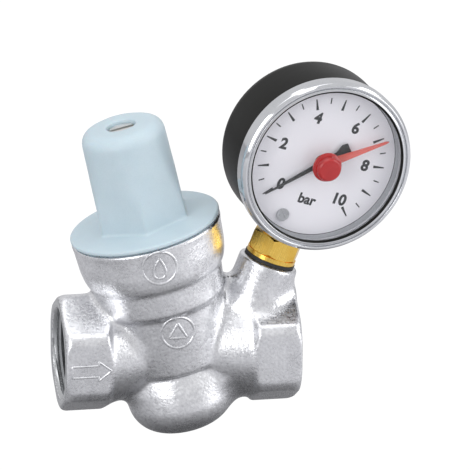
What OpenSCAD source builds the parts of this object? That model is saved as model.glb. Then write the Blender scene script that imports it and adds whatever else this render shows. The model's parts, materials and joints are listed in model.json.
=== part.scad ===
// Inclined-cartridge pressure reducing valve for water, with an outlet pressure gauge.
// Frame: origin at the centre of the inlet port face, +X along the flow, +Z up, the dial faces -Y.

/* [Body] */
// Distance between the two port faces
body_length = 70; // [66:1:80]
// Size across the flats of the hexagonal ports
port_flats = 32; // [31:0.5:34]
// Length of each hexagonal port
port_hex_length = 14; // [12:0.5:15]
// Radius of the pipe thread bore in each port (3/4 inch, core of the thread)
port_bore_r = 12.06; // [11.5:0.02:12.1]
// Depth of the pipe thread bore
port_bore_depth = 15; // [14:0.5:15]
// Where the cartridge axis crosses the pipe axis
cartridge_x = 34.6; // [33:0.2:36]
// Lean of the cartridge towards the inlet, in degrees
cartridge_lean = 13; // [11:0.5:14]
// Height of the collar rim along the cartridge axis
collar_top = 38.8; // [38:0.2:40]
// Outer radius of the collar rim
collar_r = 22.75; // [22.4:0.05:23]

/* [Cover] */
// Height of the cover's top along the cartridge axis
cover_top = 71; // [71:0.5:72]
// Radius of the cover's flange
cover_flange_r = 22.3; // [21.5:0.1:22.4]
// Corner radius of the cover's hexagonal foot
cover_hex_r = 14.2; // [13.8:0.1:14.6]
// Radius of the rounded tower at its top
cover_tower_r = 12.5; // [12.2:0.1:13]

/* [Adjustment] */
// Radius of the adjusting screw (M8)
screw_r = 4; // [4:0.1:4]
// Wire radius of the adjusting spring
spring_wire_r = 1.3; // [1.1:0.1:1.3]
// Mean radius of the adjusting spring
spring_coil_r = 7.8; // [7.6:0.1:8]
// Number of coils of the adjusting spring
spring_coils = 6; // [5:0.5:6]

/* [Gauge] */
// Centre of the gauge boss rim, along the pipe
boss_x = 62.6; // [62:0.1:63]
// Centre of the gauge boss rim, above the pipe axis
boss_z = 25.6; // [25:0.1:26]
// Lean of the gauge stem towards the outlet, in degrees
boss_lean = 21; // [18:0.5:22]
// Outer radius of the gauge boss
boss_r = 8.9; // [8.8:0.1:9.2]
// Height of the gauge centre above the boss rim
gauge_rise = 34.9; // [34.5:0.1:36]
// Turn of the gauge about its stem, in degrees
gauge_turn = 10; // [0:1:20]
// Outer radius of the gauge bezel
bezel_r = 26.2; // [26.1:0.1:26.5]
// Front of the bezel, ahead of the stem axis
bezel_front = 13.3; // [13.3:0.1:13.5]
// Back of the gauge case, behind the stem axis
case_back = 13.2; // [12.6:0.1:14]
// Size across the flats of the gauge stem
gauge_flats = 14; // [13.5:0.5:14]

/* [Hidden] */
// Radial play of a push fit and of a running fit
push_play = 0.05;
run_play = 0.05;
round_fn = 96;
small_fn = 48;
hull_fn = 32;
// Overshoot of a cutting tool past the face that it cuts
cut = 1;

// Valve body, along the cartridge axis
collar_foot = 25.2;
band_foot = 15.8;
housing_foot = -3.4;
bowl_foot = -23.6;
bowl_r = 15.8;
bowl_shift = -1.4;
bowl_neck_r = 12.7;
neck_r = 12.6;
thread_bore_r = 19.6;
shoulder_h = 29;
chamber_r = 15.2;
chamber_floor = 23;
cage_bore_r = 11;
cage_bore_foot = 16;
annulus_r = 12.8;
annulus_foot = 4.5;
land_r = 9.5;
land_foot = 0;
bowl_mouth_r = 10.8;
bowl_bore_r = 12;
bowl_bore_foot = -19;

// Gauge boss bore (1/4 inch thread)
boss_bore_r = 6.6;
boss_bore_depth = 10.5;
boss_hole_r = 1.5;

// Stack in the spring chamber, along the cartridge axis
diaphragm_t = 1.2;
centre_h = shoulder_h - 1.6;
washer_t = 1.4;
slip_ring_t = 0.6;
plate_t = 1.8;
cover_foot = shoulder_h + diaphragm_t + slip_ring_t;
spring_foot = centre_h + diaphragm_t + plate_t;
spring_top = 55.5;
spring_plate_t = 2.5;
screw_foot = spring_top + spring_plate_t;
screw_top = cover_top - 1;
insert_foot = 60;
insert_top = 69;
insert_r = 6.5;
cover_turn = 25;
cover_bore_r = 10.3;
diaphragm_r = thread_bore_r - 0.1;

// Cartridge, along the cartridge axis
cage_top = 25;
cage_foot = -0.5;
cage_r = cage_bore_r - 2 * push_play;
cage_wall_r = 8.4;
plug_r = land_r - 2 * push_play;
piston_bore_r = 5.05;
seat_r = 7.2;
seat_bore_r = 5;
seat_lip = -1.5;
seat_top = 2.5;
seat_gap = 1.8;
gasket_t = 1.8;
gasket_r = 6.8;
obturator_r = 7.6;
obturator_t = 2;
stem_r = 2.5;
ring_r = 0.85;
strainer_r = 9.3;
strainer_foot = -14.5;
strainer_rows = 6;
strainer_cols = 18;

// Gauge, front to back along its own Y
lens_front = -12.4;
lens_t = 1.4;
lens_r = 25.15;
lens_gasket_t = 0.6;
lens_hole_r = 1.7;
case_r = 25.2;
case_wall = 0.9;
case_front = lens_front + lens_t + lens_gasket_t;
bezel_back = -8.3;
dial_front = -8.3;
dial_t = 0.7;
dial_r = 22.6;
pointer_front = -9.3;
pointer_t = 0.4;
set_front = -10.9;
set_t = 0.4;
knob_front = -15.6;
knob_r = 3.65;
front_plate_y = -6.4;
back_plate_y = -1;
movement_t = 0.8;
sector_y = -3.4;
gear_t = 0.8;
link_y = sector_y + gear_t;
tube_front = 2;
tube_width = 6;
tube_t = 2.2;
tube_r = 17;
tube_from = -30;
tube_to = 245;

// Gauge gear train
gear_module = 0.25;
pinion_teeth = 12;
sector_teeth = 72;
pressure_angle = 25;
gear_backlash = 0.07;
sector_dir = -35;
gear_centres = gear_module * (pinion_teeth + sector_teeth) / 2;
sector_x = gear_centres * cos(sector_dir);
sector_z = gear_centres * sin(sector_dir);
tail_r = 4;
tail_dir = -112.5;
tail_x = sector_x + tail_r * cos(tail_dir);
tail_z = sector_z + tail_r * sin(tail_dir);
tip_x = tube_r * cos(tube_from);
tip_z = tube_r * sin(tube_from) - 0.8;
zero_dir = 225;
set_dir = 35;
screw_pos = [-5.6, -18.3];
pillar_spots = [[-5.5, 2.8], [-5.5, -10.5], [2.6, -11]];
mount_spots = [[-4, -14.3], [4, -14.3]];

// Gauge stem, up its own Z
rim_z = -gauge_rise;
seal_t = 1;
seal_r = 7.6;
stem_collar_t = 1.3;
block_top = -12.8;
block_foot = -21.8;
stem_neck_r = 4.8;
block_front = back_plate_y + movement_t;
block_back = 9.6;

chrome = "#c9cacc";
brass = "#d3a640";
steel = "#9a9da1";
rubber = "#26262a";
cover_blue = "#bccfd6";
case_black = "#1c1c1e";
signal_red = "#d8231f";

// Frames: the cartridge with its axis as Z, and the gauge with its stem as Z and its dial to -Y
module in_cartridge() {
    translate([cartridge_x, 0, 0]) rotate([0, -cartridge_lean, 0]) children();
}

module in_boss() {
    translate([boss_x, 0, boss_z]) rotate([0, boss_lean, 0]) children();
}

module in_gauge() {
    in_boss() translate([0, 0, gauge_rise]) rotate([0, 0, gauge_turn]) children();
}

// Basic shapes
module tube_z(outer_r, inner_r, from_z, to_z, fn = round_fn) {
    difference() {
        translate([0, 0, from_z]) cylinder(r = outer_r, h = to_z - from_z, $fn = fn);
        translate([0, 0, from_z - cut])
            cylinder(r = inner_r, h = to_z - from_z + 2 * cut, $fn = fn);
    }
}

module rod_z(r, from_z, to_z, fn = small_fn) {
    translate([0, 0, from_z]) cylinder(r = r, h = to_z - from_z, $fn = fn);
}

module torus(centre_r, section_r, z) {
    translate([0, 0, z]) rotate_extrude($fn = round_fn)
        translate([centre_r, 0]) circle(r = section_r, $fn = small_fn);
}

module turned_about_y() {
    rotate([-90, 0, 0]) rotate_extrude($fn = round_fn) children();
}

module flat_xz(from_y, to_y) {
    translate([0, to_y, 0]) rotate([90, 0, 0]) linear_extrude(to_y - from_y) children();
}

module rod_y(r, from_y, to_y, fn = small_fn) {
    translate([0, from_y, 0]) rotate([-90, 0, 0]) cylinder(r = r, h = to_y - from_y, $fn = fn);
}

module bar_between(from, to, r) {
    run = to - from;
    translate([from[0], 0, from[1]]) rotate([0, atan2(run[0], run[1]), 0])
        cylinder(r = r, h = norm(run), $fn = round_fn);
}

// Valve body
module port_hex() {
    intersection() {
        rotate([0, 90, 0]) cylinder(r = port_flats / sqrt(3), h = port_hex_length, $fn = 6);
        rotate([0, 90, 0]) rotate_extrude($fn = round_fn) polygon([
            [0, 0], [port_flats / 2 + 0.3, 0], [port_flats / 2 + 1.7, 1.4],
            [port_flats / 2 + 1.7, port_hex_length - 1], [port_flats / 2, port_hex_length],
            [0, port_hex_length]]);
    }
}

module neck() {
    near = port_hex_length - cut;
    rotate([0, 90, 0]) rotate_extrude($fn = round_fn) polygon([
        [0, near], [port_flats / 2 - 0.6, near], [port_flats / 2 - 0.6, near + 2],
        [neck_r, near + 12], [neck_r, body_length - near - 12],
        [port_flats / 2 - 0.6, body_length - near - 2],
        [port_flats / 2 - 0.6, body_length - near], [0, body_length - near]]);
}

module housing() {
    rotate_extrude($fn = round_fn) polygon([
        [0, housing_foot], [14.2, housing_foot], [16.8, band_foot - 0.8], [17.6, band_foot],
        [18.6, band_foot + 0.8], [19.4, collar_foot - 0.8], [20.3, collar_foot],
        [21.2, collar_foot + 2.2], [21.8, collar_foot + 5], [collar_r, collar_top - 0.4],
        [collar_r - 0.4, collar_top], [0, collar_top]]);
}

module bowl() {
    edge_r = 9;
    turn_h = bowl_foot + edge_r;
    bottom = [for (a = [0 : 7.5 : 90])
        [bowl_r - edge_r + edge_r * cos(a), turn_h - edge_r * sin(a)]];
    rod_z(bowl_neck_r, turn_h + 5, land_foot, round_fn);
    translate([bowl_shift, 0, 0]) rotate_extrude($fn = round_fn) polygon(concat(
        [[0, housing_foot], [bowl_neck_r - 1.5, housing_foot], [bowl_neck_r, -5.5],
         [14.4, -8.8], [15.5, -12]],
        bottom, [[0, bowl_foot]]));
}

module body_cavity() {
    rotate_extrude($fn = round_fn) polygon([
        [0, collar_top + cut], [thread_bore_r, collar_top + cut], [thread_bore_r, shoulder_h],
        [chamber_r, shoulder_h], [chamber_r, chamber_floor], [cage_bore_r, chamber_floor],
        [cage_bore_r, cage_bore_foot], [annulus_r, cage_bore_foot], [annulus_r, annulus_foot],
        [land_r, annulus_foot], [land_r, land_foot], [bowl_mouth_r, land_foot - 1],
        [bowl_mouth_r, -7], [bowl_bore_r, -12],
        [bowl_bore_r, bowl_bore_foot + 4], [bowl_bore_r - 4, bowl_bore_foot],
        [0, bowl_bore_foot]]);
}

module boss() {
    in_boss() {
        rod_z(boss_r, -14, 0, round_fn);
    }
    translate([44, -2.2, boss_z - 8.5]) cube([13, 4.4, 4.5]);
}

module valve_body() color(chrome) {
    inlet_way = [[port_bore_depth - 2, -4], [36, -13]];
    outlet_way = [[body_length - port_bore_depth + 1, 5], [40, 14]];
    difference() {
        union() {
            port_hex();
            translate([body_length, 0, 0]) mirror([1, 0, 0]) port_hex();
            neck();
            in_cartridge() housing();
            in_cartridge() bowl();
            bar_between(outlet_way[0], outlet_way[1], 6.9);
            boss();
        }
        in_cartridge() body_cavity();
        rotate([0, 90, 0]) translate([0, 0, -cut])
            cylinder(r = port_bore_r, h = port_bore_depth + cut, $fn = round_fn);
        translate([body_length - port_bore_depth, 0, 0]) rotate([0, 90, 0])
            cylinder(r = port_bore_r, h = port_bore_depth + cut, $fn = round_fn);
        bar_between(inlet_way[0], inlet_way[1], 5.5);
        bar_between(outlet_way[0], outlet_way[1], 4.5);
        in_boss() {
            rod_z(boss_bore_r, -boss_bore_depth, cut, round_fn);
            rod_z(boss_hole_r, -boss_bore_depth - 6, -boss_bore_depth + cut);
        }
    }
}

// Cartridge
module cage_shell() {
    difference() {
        rotate_extrude($fn = round_fn) polygon([
            [piston_bore_r, cage_top], [chamber_r - push_play, cage_top],
            [chamber_r - push_play, chamber_floor], [cage_r, chamber_floor],
            [cage_r, 21], [9.1, 21], [9.1, 19], [cage_r, 19],
            [cage_r, annulus_foot], [plug_r, annulus_foot], [plug_r, 3], [7.7, 3], [7.7, 1.2],
            [plug_r, 1.2], [plug_r, cage_foot], [seat_r, cage_foot], [seat_r, seat_top],
            [6, seat_top], [6, annulus_foot], [cage_wall_r, annulus_foot + 1],
            [cage_wall_r, cage_bore_foot - 1], [piston_bore_r, cage_bore_foot + 1]]);
        for (a = [0 : 60 : 120]) rotate([0, 0, a + 30])
            translate([-15, -3.2, annulus_foot + 1.2]) cube([30, 6.4, 8.8]);
    }
}

module cartridge_cage() color("#3b3f45") in_cartridge() cage_shell();

module cage_o_ring_upper() color(rubber) in_cartridge() torus(cage_r - ring_r, ring_r, 20);

module cage_o_ring_lower() color(rubber) in_cartridge() torus(plug_r - ring_r, ring_r, 2.1);

module valve_seat() color(steel) in_cartridge() {
    rotate_extrude($fn = round_fn) polygon([
        [seat_bore_r, seat_top], [seat_r, seat_top], [seat_r, cage_foot],
        [seat_bore_r + 1.2, cage_foot], [seat_bore_r + 0.6, seat_lip],
        [seat_bore_r, seat_lip]]);
}

module strainer() color(steel) in_cartridge() {
    row_pitch = (cage_foot - strainer_foot) / (strainer_rows + 1);
    difference() {
        tube_z(strainer_r, strainer_r - 0.5, strainer_foot, cage_foot);
        for (row = [1 : strainer_rows], col = [0 : strainer_cols - 1])
            translate([0, 0, strainer_foot + row * row_pitch])
                rotate([0, 90, (col + row % 2 / 2) * 360 / strainer_cols])
                    translate([0, 0, strainer_r - 2]) cylinder(r = 0.8, h = 4, $fn = 16);
    }
}

module strainer_cap() color("#3b3f45") in_cartridge() {
    rod_z(strainer_r, strainer_foot - 1.6, strainer_foot, round_fn);
    tube_z(strainer_r - 0.55, strainer_r - 1.6, strainer_foot, strainer_foot + 1.2);
}

module stem() color(brass) in_cartridge() {
    gasket_top = seat_lip - seat_gap;
    washer_foot = centre_h - washer_t;
    stem_top = spring_foot + 5;
    rotate_extrude($fn = round_fn) polygon([
        [0, stem_top], [stem_r - 0.4, stem_top], [stem_r, stem_top - 0.4],
        [stem_r, washer_foot], [3.4, washer_foot],
        [3.4, 22], [4.95, 22], [4.95, 20.4], [3.6, 20.4], [3.6, 18.6], [4.95, 18.6], [4.95, 17],
        [stem_r, 15], [stem_r + 0.7, gasket_top + 1], [stem_r + 0.7, gasket_top],
        [2, gasket_top], [2, -11.4], [1.6, -11.8], [0, -11.8]]);
}

module stem_o_ring() color(rubber) in_cartridge() torus(4.3, 0.7, 19.5);

module seat_gasket() color(rubber) in_cartridge()
    tube_z(gasket_r, 2.02, seat_lip - seat_gap - gasket_t, seat_lip - seat_gap);

module obturator() color(brass) in_cartridge() {
    gasket_foot = seat_lip - seat_gap - gasket_t;
    tube_z(obturator_r, 2.02, gasket_foot - obturator_t, gasket_foot);
    tube_z(obturator_r, gasket_r + 0.02, gasket_foot, gasket_foot + 1.1);
}

module obturator_nut() color(steel) in_cartridge() difference() {
    nut_top = seat_lip - seat_gap - gasket_t - obturator_t;
    rod_z(3.6, nut_top - 2.6, nut_top, 6);
    rod_z(2.02, nut_top - 4, nut_top + cut);
}

// Diaphragm and spring chamber
module diaphragm_washer() color(steel) in_cartridge()
    tube_z(10.4, stem_r + 0.02, centre_h - washer_t, centre_h);

module diaphragm() color(rubber) in_cartridge() rotate_extrude($fn = round_fn) polygon([
    [stem_r + 0.02, centre_h], [11.6, centre_h], [14.6, shoulder_h], [diaphragm_r, shoulder_h],
    [diaphragm_r, shoulder_h + diaphragm_t], [14, shoulder_h + diaphragm_t],
    [11, centre_h + diaphragm_t], [stem_r + 0.02, centre_h + diaphragm_t]]);

module diaphragm_plate() color(steel) in_cartridge() rotate_extrude($fn = round_fn) polygon([
    [stem_r + 0.02, centre_h + diaphragm_t], [10.4, centre_h + diaphragm_t],
    [10.4, spring_foot + 0.8], [spring_coil_r + spring_wire_r + 0.2, spring_foot + 0.8],
    [spring_coil_r + spring_wire_r + 0.2, spring_foot], [stem_r + 0.02, spring_foot]]);

module stem_nut() color(steel) in_cartridge() difference() {
    rod_z(4.6, spring_foot, spring_foot + 3.2, 6);
    rod_z(stem_r + 0.02, spring_foot - cut, spring_foot + 4);
}

module slip_ring() color(steel) in_cartridge()
    tube_z(diaphragm_r, 15.8, shoulder_h + diaphragm_t, cover_foot);

// Coil spring as one swept tube with flattened pitch at both ends
function coil_height(turn, low, high, turns, r) =
    turn < 1 ? low + r + turn * 2 * r * 1.02
    : turn > turns - 1 ? high - r - (turns - turn) * 2 * r * 1.02
    : low + r * 3.04 + (turn - 1) * (high - low - 6.08 * r) / (turns - 2);

module coil(mean_r, wire_r, low, high, turns, steps, sides) {
    rings = [for (i = [0 : turns * steps]) let (turn = i / steps, a = 360 * turn)
        [for (s = [0 : sides - 1]) let (
                b = 360 * s / sides,
                r = mean_r + wire_r * cos(b),
                z = coil_height(turn, low, high, turns, wire_r) + wire_r * sin(b))
            [r * cos(a), r * sin(a), z]]];
    last = len(rings) - 1;
    points = [for (ring = rings) for (p = ring) p];
    sides_faces = [for (i = [0 : last - 1], s = [0 : sides - 1]) let (t = (s + 1) % sides)
        [i * sides + s, i * sides + t, (i + 1) * sides + t, (i + 1) * sides + s]];
    start_face = [[for (s = [sides - 1 : -1 : 0]) s]];
    end_face = [[for (s = [0 : sides - 1]) last * sides + s]];
    polyhedron(points = points, faces = concat(sides_faces, start_face, end_face));
}

module adjusting_spring() color("#b9bcc0") in_cartridge()
    coil(spring_coil_r, spring_wire_r, spring_foot + 0.05, spring_top - 0.05, spring_coils, 24, 8);

module spring_plate() color(steel) in_cartridge() {
    difference() {
        rod_z(10, spring_top, screw_foot, round_fn);
        rod_z(2, screw_foot - 0.6, screw_foot + cut);
    }
    rod_z(spring_coil_r - spring_wire_r - 0.3, spring_top - 2, spring_top);
}

module adjusting_screw() color(brass) in_cartridge() difference() {
    rotate_extrude($fn = round_fn) polygon([
        [0, screw_foot], [2.6, screw_foot], [screw_r, screw_foot + 1.2],
        [screw_r, screw_top - 0.4], [screw_r - 0.4, screw_top], [0, screw_top]]);
    translate([-screw_r - cut, -0.8, screw_top - 1.6]) cube([2 * (screw_r + cut), 1.6, 3]);
}

module cover_insert() color(brass) in_cartridge() difference() {
    rod_z(insert_r, insert_foot, insert_top, 6);
    rod_z(screw_r + run_play, insert_foot - cut, insert_top + cut);
}

module cover_tower() {
    edge_r = 4;
    hull() {
        translate([0, 0, collar_top + 2]) rotate([0, 0, cover_turn])
            cylinder(r = cover_hex_r, h = 8, $fn = 6);
        translate([0, 0, cover_top - 12]) cylinder(r = cover_tower_r + 0.2, h = 1, $fn = hull_fn);
        for (a = [0 : 360 / 32 : 359]) rotate([0, 0, a])
            translate([cover_tower_r - edge_r, 0, cover_top - edge_r])
                rotate([90, 0, 0]) cylinder(r = edge_r, h = 0.01, $fn = hull_fn);
    }
}

module spring_cover() color(cover_blue) in_cartridge() difference() {
    union() {
        cover_tower();
        rotate_extrude($fn = round_fn) polygon([
            [0, collar_top], [cover_flange_r, collar_top], [cover_flange_r, collar_top + 1],
            [cover_flange_r - 0.8, collar_top + 1.6], [0, collar_top + 4]]);
        rod_z(diaphragm_r, cover_foot, collar_top, round_fn);
    }
    rotate_extrude($fn = round_fn) polygon([
        [0, cover_foot - cut], [16.4, cover_foot - cut], [16.4, collar_top - 2],
        [cover_bore_r, collar_top + 1], [cover_bore_r, insert_foot], [0, insert_foot]]);
    rod_z(insert_r, insert_foot - cut, insert_top, 6);
    rod_z(screw_r + 0.3, insert_top - cut, cover_top + cut);
}

// Gauge stem and case
module gauge_seal() color(rubber) in_gauge() tube_z(seal_r, boss_bore_r, rim_z, rim_z + seal_t);

module tube_section(grow = 0) {
    half = tube_width / 2 - tube_t / 2;
    middle_y = tube_front + tube_width / 2;
    translate([tube_r, middle_y]) {
        square([tube_t + 2 * grow, 2 * half], center = true);
        translate([0, half]) circle(d = tube_t + 2 * grow, $fn = small_fn);
        translate([0, -half]) circle(d = tube_t + 2 * grow, $fn = small_fn);
    }
}

module tube_sweep(grow = 0) {
    rotate([-90, 0, 0]) rotate([0, 0, -tube_to])
        rotate_extrude(angle = tube_to - tube_from, $fn = round_fn) tube_section(grow);
}

module gauge_socket() color(brass) in_gauge() difference() {
    union() {
        translate([-8, block_front, block_foot]) cube([15, block_back - block_front,
            block_top - block_foot]);
        translate([screw_pos[0], 0, screw_pos[1]]) rod_y(2, dial_front + dial_t, block_front);
        rod_z(stem_neck_r, -case_r - 2, block_foot + cut, round_fn);
        intersection() {
            rod_z(gauge_flats / sqrt(3), rim_z + seal_t + stem_collar_t, -case_r - 1.6, 6);
            rotate_extrude($fn = round_fn) polygon([
                [0, rim_z + seal_t], [gauge_flats / 2 + 0.1, rim_z + seal_t + stem_collar_t],
                [gauge_flats / sqrt(3), rim_z + seal_t + stem_collar_t + 0.9],
                [gauge_flats / sqrt(3), -case_r - 2.2], [gauge_flats / 2, -case_r - 1.6],
                [0, -case_r - 1.6]]);
        }
        rod_z(7.4, rim_z + seal_t, rim_z + seal_t + stem_collar_t, round_fn);
        rod_z(boss_bore_r - 2 * push_play, rim_z - boss_bore_depth + 0.5, rim_z + seal_t + cut,
            round_fn);
    }
    rod_z(1.6, rim_z - boss_bore_depth - cut, -16);
    tube_sweep();
    translate([screw_pos[0], 0, screw_pos[1]]) rod_y(1, dial_front, block_front + 3);
    for (p = mount_spots) translate([p[0], 0, p[1]]) rod_y(0.8, block_front - cut, block_front + 4);
    for (x = [-4, 4]) translate([x, 0, -20]) rod_y(1.25, block_back - 4, block_back + cut);
}

module gauge_case() color(case_black) in_gauge() difference() {
    turned_about_y() polygon([
        [0, case_back], [18, case_back], [21.5, case_back - 0.7], [24, case_back - 2.6],
        [case_r, case_back - 6], [case_r, case_front], [case_r - case_wall, case_front],
        [case_r - case_wall, case_back - 6.2], [23.2, case_back - 3.2],
        [21.2, case_back - 1.6], [18, case_back - case_wall], [0, case_back - case_wall]]);
    rod_z(stem_neck_r + push_play, -case_r - 4, -case_r + 5, round_fn);
    for (x = [-4, 4]) translate([x, 0, -20]) rod_y(1.3, block_back, case_back + cut);
}

module socket_screws() color(steel) in_gauge()
    for (x = [-4, 4]) translate([x, 0, -20]) {
        rod_y(1.2, block_back - 3.5, case_back);
        rod_y(2.2, case_back, case_back + 1.2);
    }

// Gauge measuring tube
module bourdon_tube() color("#c9a24a") in_gauge() tube_sweep();

module tube_tip() color(brass) in_gauge() {
    translate([tip_x, 0, tip_z]) difference() {
        translate([-1.7, sector_y + 1.5, -3.2]) cube([3.4, tube_front + tube_width - sector_y - 2,
            2.8]);
        translate([0, 0, -1.8]) rod_y(0.5, sector_y, sector_y + 4);
    }
}

module tip_link() color(steel) in_gauge() {
    end = [tip_x, tip_z - 1.8];
    difference() {
        flat_xz(link_y + 0.1, link_y + 0.6) {
            hull() {
                translate([tail_x, tail_z]) circle(r = 1.2, $fn = hull_fn);
                translate(end) circle(r = 1.2, $fn = hull_fn);
            }
        }
        translate([tail_x, 0, tail_z]) rod_y(0.9, link_y - cut, link_y + 2);
        translate([end[0], 0, end[1]]) rod_y(0.5, link_y - cut, link_y + 2);
    }
}

module link_pins() color(steel) in_gauge() translate([tip_x, 0, tip_z - 1.8]) {
    rod_y(0.48, link_y - 0.3, link_y + 3);
    rod_y(0.9, link_y - 0.5, link_y + 0.1);
}

// Gauge movement
module plate_outline(foot) {
    difference() {
        translate([-7.5, foot]) square([18.6, 4.8 - foot]);
        circle(r = 0.66, $fn = small_fn);
        translate([sector_x, sector_z]) circle(r = 0.76, $fn = small_fn);
        for (p = pillar_spots) translate(p) circle(r = 0.8, $fn = small_fn);
    }
}

module movement_back_plate() color(brass) in_gauge() flat_xz(back_plate_y, block_front)
    difference() {
        plate_outline(-16);
        for (p = mount_spots) translate(p) circle(r = 0.85, $fn = small_fn);
    }

module movement_front_plate() color(brass) in_gauge()
    flat_xz(front_plate_y, front_plate_y + movement_t) plate_outline(block_top);

module movement_pillars() color(brass) in_gauge()
    for (p = pillar_spots) translate([p[0], 0, p[1]]) {
        rod_y(1.2, front_plate_y + movement_t, back_plate_y);
        rod_y(0.75, back_plate_y, back_plate_y + movement_t);
    }

module movement_screws() color(steel) in_gauge()
    for (p = pillar_spots) translate([p[0], 0, p[1]]) {
        rod_y(0.75, front_plate_y, front_plate_y + movement_t);
        rod_y(1.2, front_plate_y - 0.5, front_plate_y);
    }

module mounting_screws() color(steel) in_gauge()
    for (p = mount_spots) translate([p[0], 0, p[1]]) {
        rod_y(0.75, back_plate_y, block_front + 3);
        rod_y(1.3, back_plate_y - 0.8, back_plate_y);
    }

// Involute gear outline with stub teeth
function involute(angle) = tan(angle) - angle * PI / 180;

function half_tooth(r, pitch_r, teeth) = let (base_r = pitch_r * cos(pressure_angle),
        at_r = r > base_r ? acos(base_r / r) : 0)
    (PI / (2 * teeth) - gear_backlash / (4 * pitch_r) + involute(pressure_angle)
        - involute(at_r)) * 180 / PI;

// Outline of one tooth about the direction a, from its right root to its left root
function tooth_outline(teeth, a) = let (
        pitch_r = gear_module * teeth / 2,
        root_r = pitch_r - gear_module,
        rise = 1.7 * gear_module,
        radii = [for (i = [0 : 5]) root_r + rise * i / 5],
        right = [for (r = radii) let (d = a - half_tooth(r, pitch_r, teeth))
            [r * cos(d), r * sin(d)]],
        left = [for (i = [5 : -1 : 0]) let (r = radii[i], d = a + half_tooth(r, pitch_r, teeth))
            [r * cos(d), r * sin(d)]])
    concat(right, left);

module pinion() color(steel) in_gauge() {
    flat_xz(sector_y - 0.6, sector_y + gear_t + 0.6)
        polygon([for (i = [0 : pinion_teeth - 1])
            each tooth_outline(pinion_teeth, sector_dir + i * 360 / pinion_teeth)]);
    rod_y(0.6, pointer_front - 0.3, back_plate_y + movement_t);
}

module sector_rim(inner_r) {
    step = 360 / sector_teeth;
    inward = sector_dir + 180;
    first = -11;
    last = 1;
    teeth = [for (k = [first : last]) each tooth_outline(sector_teeth, inward + (k + 0.5) * step)];
    arc = [for (k = [last + 1 : -1 : first]) let (a = inward + k * step)
        [inner_r * cos(a), inner_r * sin(a)]];
    polygon(concat(teeth, arc));
}

module sector_gear() color(brass) in_gauge() translate([sector_x, 0, sector_z]) {
    inward = sector_dir + 180;
    inner_r = gear_module * sector_teeth / 2 - 1.6;
    flat_xz(sector_y, sector_y + gear_t) {
        sector_rim(inner_r);
        circle(r = 1.7, $fn = small_fn);
        for (a = [inward - 52, inward + 6]) rotate(a) translate([1, -0.55])
            square([inner_r - 0.6, 1.1]);
        rotate(tail_dir) translate([1, -0.7]) square([tail_r - 0.2, 1.4]);
        rotate(tail_dir) translate([tail_r, 0]) circle(r = 1.1, $fn = small_fn);
    }
    rod_y(0.7, front_plate_y + 0.1, back_plate_y + movement_t - 0.1);
    translate([tail_r * cos(tail_dir), 0, tail_r * sin(tail_dir)])
        rod_y(0.5, sector_y + 0.1, link_y + 0.9);
}

module hairspring() color("#8d7a4a") in_gauge() {
    turns = 4;
    steps = 24;
    inner_r = 1.1;
    pitch = 0.75;
    width = 0.16;
    edge = function (side) [for (i = [0 : turns * steps])
        let (a = 360 * i / steps, r = inner_r + pitch * i / steps + side * width / 2)
        [r * cos(a), r * sin(a)]];
    inner = edge(-1);
    outer = edge(1);
    flat_xz(-5.2, -4.7)
        polygon(concat(outer, [for (i = [len(inner) - 1 : -1 : 0]) inner[i]]));
}

module hairspring_stud() color(brass) in_gauge() translate([4.6, 0, 0])
    rod_y(0.4, front_plate_y + movement_t, -4.6);

// Gauge face
module dial() color("#f4f4f2") in_gauge() difference() {
    rod_y(dial_r, dial_front, dial_front + dial_t, round_fn);
    rod_y(2.2, dial_front - cut, dial_front + 2);
    translate([screw_pos[0], 0, screw_pos[1]]) rod_y(1.1, dial_front - cut, dial_front + 2);
}

module dial_screw() color(steel) in_gauge() translate([screw_pos[0], 0, screw_pos[1]])
    difference() {
        union() {
            rod_y(1.9, dial_front - 0.6, dial_front);
            rod_y(0.98, dial_front, block_front + 2.4);
        }
        rotate([0, 45, 0]) translate([-3, dial_front - 0.8, -0.22]) cube([6, 0.5, 0.44]);
    }

module pointer() color("#161616") in_gauge() difference() {
    union() {
        flat_xz(pointer_front, pointer_front + pointer_t) rotate(zero_dir)
            polygon([[-9, -1.6], [-7.4, -1.9], [-5, -0.8], [0, -0.75], [12, -0.42], [19.2, -0.1],
                [19.2, 0.1], [12, 0.42], [0, 0.75], [-5, 0.8], [-7.4, 1.9], [-9, 1.6]]);
        rod_y(1.7, pointer_front - 0.3, pointer_front + pointer_t + 0.3);
    }
    rod_y(0.61, pointer_front - 2, pointer_front + 2);
}

module lens_gasket() color(rubber) in_gauge() turned_about_y()
    translate([23.3, lens_front + lens_t]) square([lens_r - 23.3, lens_gasket_t]);

module gauge_lens() color("#e8eef0", 0.35) in_gauge() difference() {
    rod_y(lens_r, lens_front, lens_front + lens_t, round_fn);
    rod_y(lens_hole_r, lens_front - cut, lens_front + 4);
}

module gauge_bezel() color("#d5d6d8") in_gauge() turned_about_y() polygon([
    [22.9, -bezel_front + 0.5], [23.4, -bezel_front], [25.2, -bezel_front],
    [bezel_r - 0.3, -bezel_front + 0.7], [bezel_r, -bezel_front + 1.6],
    [bezel_r, bezel_back - 0.4], [bezel_r - 0.4, bezel_back], [case_r + push_play, bezel_back],
    [case_r + push_play, lens_front], [22.9, lens_front]]);

module set_pointer() color(signal_red) in_gauge() {
    difference() {
        union() {
            flat_xz(set_front, set_front + set_t) rotate(set_dir) polygon([
                [-2, -1.2], [0, -1.5], [4, -1.2], [19.6, -0.35], [20.4, 0], [19.6, 0.35],
                [4, 1.2], [0, 1.5], [-2, 1.2]]);
            rod_y(2.4, set_front, set_front + set_t);
        }
        rod_y(0.9, set_front - cut, set_front + 2);
    }
}

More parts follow.
